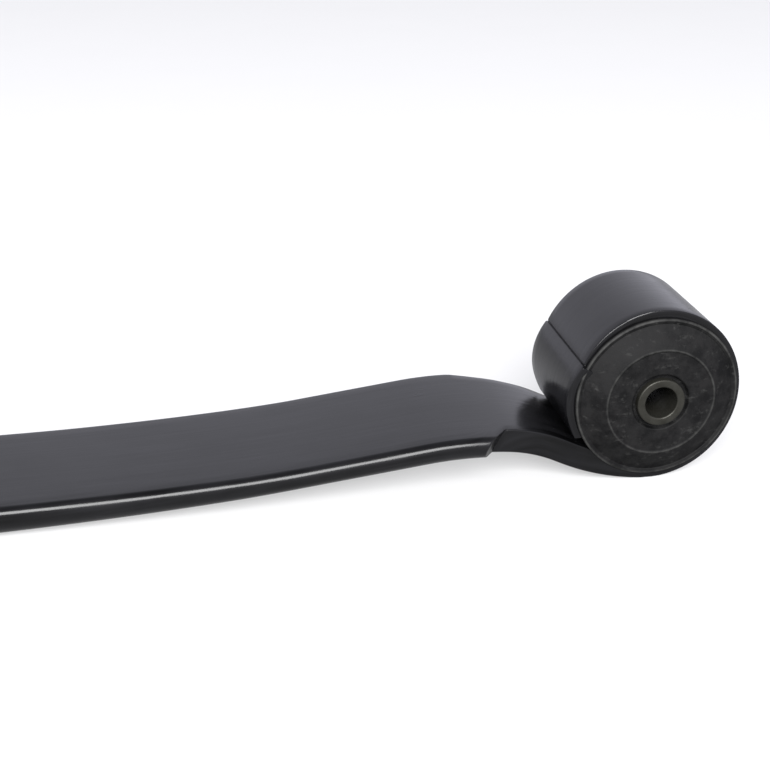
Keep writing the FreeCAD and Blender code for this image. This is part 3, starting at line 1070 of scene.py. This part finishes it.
    def build_sleeve(self) -> bpy.types.Object:
        """Builds the inner sleeve: a tube's section with rounded ends, turned about the eye's axis.

        Returns:
            The finished piece.
        """
        soft = self.sleeve_round
        ends = []
        for way in (1, -1):
            far = way * (self.sleeve_half - soft)
            outer = round_corner((self.sleeve_outside - soft, far), soft, 0, 90 * way)
            inner = round_corner((self.sleeve_bore + soft, far), soft, 90 * way, 180 * way)
            ends.append(np.concatenate([outer, inner]))
        wall = np.linspace(-1, 1, 12)[1:-1, None] * np.array([[0.0, self.sleeve_half - soft]])
        section = np.concatenate([
            ends[0],
            wall[::-1] + np.array([[self.sleeve_bore, 0.0]]),
            ends[1][::-1],
            wall + np.array([[self.sleeve_outside, 0.0]]),
        ])
        in_bore = section[:, 0] < self.sleeve_bore + 0.1
        # painted shade: the bore's wall is darkened deep inside, where little light reaches
        soot = ease(self.sleeve_half - np.abs(section[:, 1]), *self.soot_span) * in_bore
        profile = TurnedProfile(np.concatenate([section, soot[:, None]], 1), self.sleeve_segments)
        points, faces = profile.turn(self.centre, -1)
        node = f"{self.end.word}_inner_sleeve"
        piece = new_piece(node + "_turned", points, faces.tolist(), self.steel)
        profile.dress(piece.data, False)
        soften(piece.data, self.sharp_corner)
        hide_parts(node)
        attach(piece, f"{self.end.word}_sleeve")
        return piece

    def dress_cans(self) -> None:
        """Gives the two hidden steel cans, whose own shape is right, their finish."""
        for side in Side:
            node = frame["nodes"][f"{self.end.word}_{side.word}_outer_can"]
            node.data.materials.clear()
            node.data.materials.append(self.can)

    def build(self) -> list[bpy.types.Object]:
        """Builds and dresses every piece of the bush.

        Returns:
            The new pieces.
        """
        self.dress_cans()
        return [self.build_sleeve()] + [self.build_rubber(side) for side in Side]


# ---------------------------------------------------------------- the studio


@dataclass
class Studio:
    """A pale floor, soft light and the camera. Places are in millimetres from the aim."""

    floor_level: float
    aim: np.ndarray
    floor_reach: float = 6000.0
    floor_tone: float = 0.29
    floor_speck: float = 0.985
    floor_glow: float = 0.42
    sky_strength: float = 1.26
    # a direction's height above the horizon (its sine), and the sky's tone there
    sky_stops: tuple = ((0.0, 0.90), (0.60, 0.90), (0.85, 0.50), (1.0, 0.28))
    sky_blue: float = 1.12
    key_place: tuple[float, float, float] = (-690.0, -2800.0, 1860.0)
    key_target: tuple[float, float, float] = (-150.0, 0.0, 0.0)
    key_size: tuple[float, float] = (3000.0, 1720.0)
    key_watts: float = 410.0
    camera_place: tuple[float, float, float] = (-229.9, -576.3, 262.4)
    azimuth: float = -9.96
    elevation: float = 23.94
    lens: float = 60.78

    def floor(self) -> None:
        """A wide pale floor under the spring. Its glow shows only to the camera, so that it is even."""
        corners = np.array([[-1, -1], [1, -1], [1, 1], [-1, 1]]) * self.floor_reach
        points = np.concatenate([corners, np.full((4, 1), self.floor_level)], 1)
        sheet = NodeSheet("studio_floor")
        speck = sheet.noise(sheet.place("Object", (9.0, 9.0, 9.0)), 4.0, 0.6)
        pale = (self.floor_tone,) * 3
        dim = (self.floor_tone * self.floor_speck,) * 3
        mottled = sheet.blend(sheet.span(speck, 0.3, 0.7, 0.0, 1.0), pale, dim)
        sheet.join(mottled, sheet.shader.inputs["Base Color"])
        sheet.shader.inputs["Roughness"].default_value = 0.9
        sheet.shader.inputs["Emission Strength"].default_value = self.floor_glow
        path = sheet.tree.nodes.new("ShaderNodeLightPath")
        sheet.join(path.outputs["Is Camera Ray"], sheet.shader.inputs["Emission Color"])
        piece = new_piece("studio_floor", points, [[0, 1, 2, 3]], sheet.material)
        piece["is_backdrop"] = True

    def sky(self) -> None:
        """Even, slightly blue light from all round the horizon, weaker overhead.

        The tone is read from a ramp over the direction's height above the horizon (its Z).
        """
        world = bpy.data.worlds.new("studio_sky")
        bpy.context.scene.world = world
        world.use_nodes = True
        tree = world.node_tree
        background = tree.nodes["Background"]
        coordinate = tree.nodes.new("ShaderNodeTexCoord")
        split = tree.nodes.new("ShaderNodeSeparateXYZ")
        ramp = tree.nodes.new("ShaderNodeValToRGB")
        tree.links.new(coordinate.outputs["Generated"], split.inputs["Vector"])
        tree.links.new(split.outputs["Z"], ramp.inputs["Fac"])
        tree.links.new(ramp.outputs["Color"], background.inputs["Color"])
        elements = ramp.color_ramp.elements
        while len(elements) < len(self.sky_stops):
            elements.new(0.5)
        for element, (height, tone) in zip(elements, self.sky_stops):
            element.position = height
            element.color = (tone, tone, tone * self.sky_blue, 1.0)
        background.inputs["Strength"].default_value = self.sky_strength

    def softbox(self, name: str, place: tuple, target: tuple, size: tuple, watts: float) -> None:
        """A rectangular area light that faces a target.

        Args:
            name: the light's name.
            place: its middle.
            target: the point it faces.
            size: its width and height.
            watts: its power.
        """
        light = bpy.data.lights.new(name, "AREA")
        light.shape = "RECTANGLE"
        light.size, light.size_y = size[0] * MM, size[1] * MM
        light.energy = watts
        lamp = bpy.data.objects.new(name, light)
        bpy.context.scene.collection.objects.link(lamp)
        lamp.location = Vector((self.aim + np.array(place)) * MM)
        toward = Vector((self.aim + np.array(target)) * MM) - lamp.location
        lamp.rotation_euler = toward.to_track_quat("-Z", "Y").to_euler()

    def camera(self) -> None:
        """The camera, on the right of the front eye and looking down on it."""
        made = bpy.data.cameras.new("camera")
        made.lens = self.lens
        made.sensor_width = 36.0
        made.clip_start, made.clip_end = 0.01, 50.0
        camera = bpy.data.objects.new("camera", made)
        bpy.context.scene.collection.objects.link(camera)
        camera.location = Vector((self.aim + np.array(self.camera_place)) * MM)
        azimuth, elevation = math.radians(self.azimuth), math.radians(self.elevation)
        camera.rotation_euler = (math.pi / 2 - elevation, 0.0, azimuth)
        bpy.context.scene.camera = camera

    def build(self) -> None:
        """Builds the floor, the light and the camera."""
        self.floor()
        self.sky()
        self.softbox("key_box", self.key_place, self.key_target, self.key_size, self.key_watts)
        self.camera()
        bpy.context.scene.view_settings.view_transform = "Standard"


def main() -> None:
    """Builds the leaf, the two bushes and the studio."""
    paint = SpringPaint().make()
    rubber = BushRubber().make()
    steel = TurnedSteel().make()
    can = TurnedSteel("can_steel", clean=(0.34,) * 3, film=(0.2,) * 3, metallic=0.95).make()
    half_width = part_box("leaf")[1].y / MM
    leaf = Leaf(joint_place(End.FRONT), half_width, paint)
    pieces = [leaf.build()]
    for end in End:
        pieces += Bush(end, rubber, steel, can).build()
    for piece in pieces:
        log.info("%s: %d faces", piece.name, len(piece.data.polygons))
    floor_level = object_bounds()[0].z / MM
    Studio(floor_level, joint_place(End.FRONT)).build()


if __name__ == "__main__":
    main()
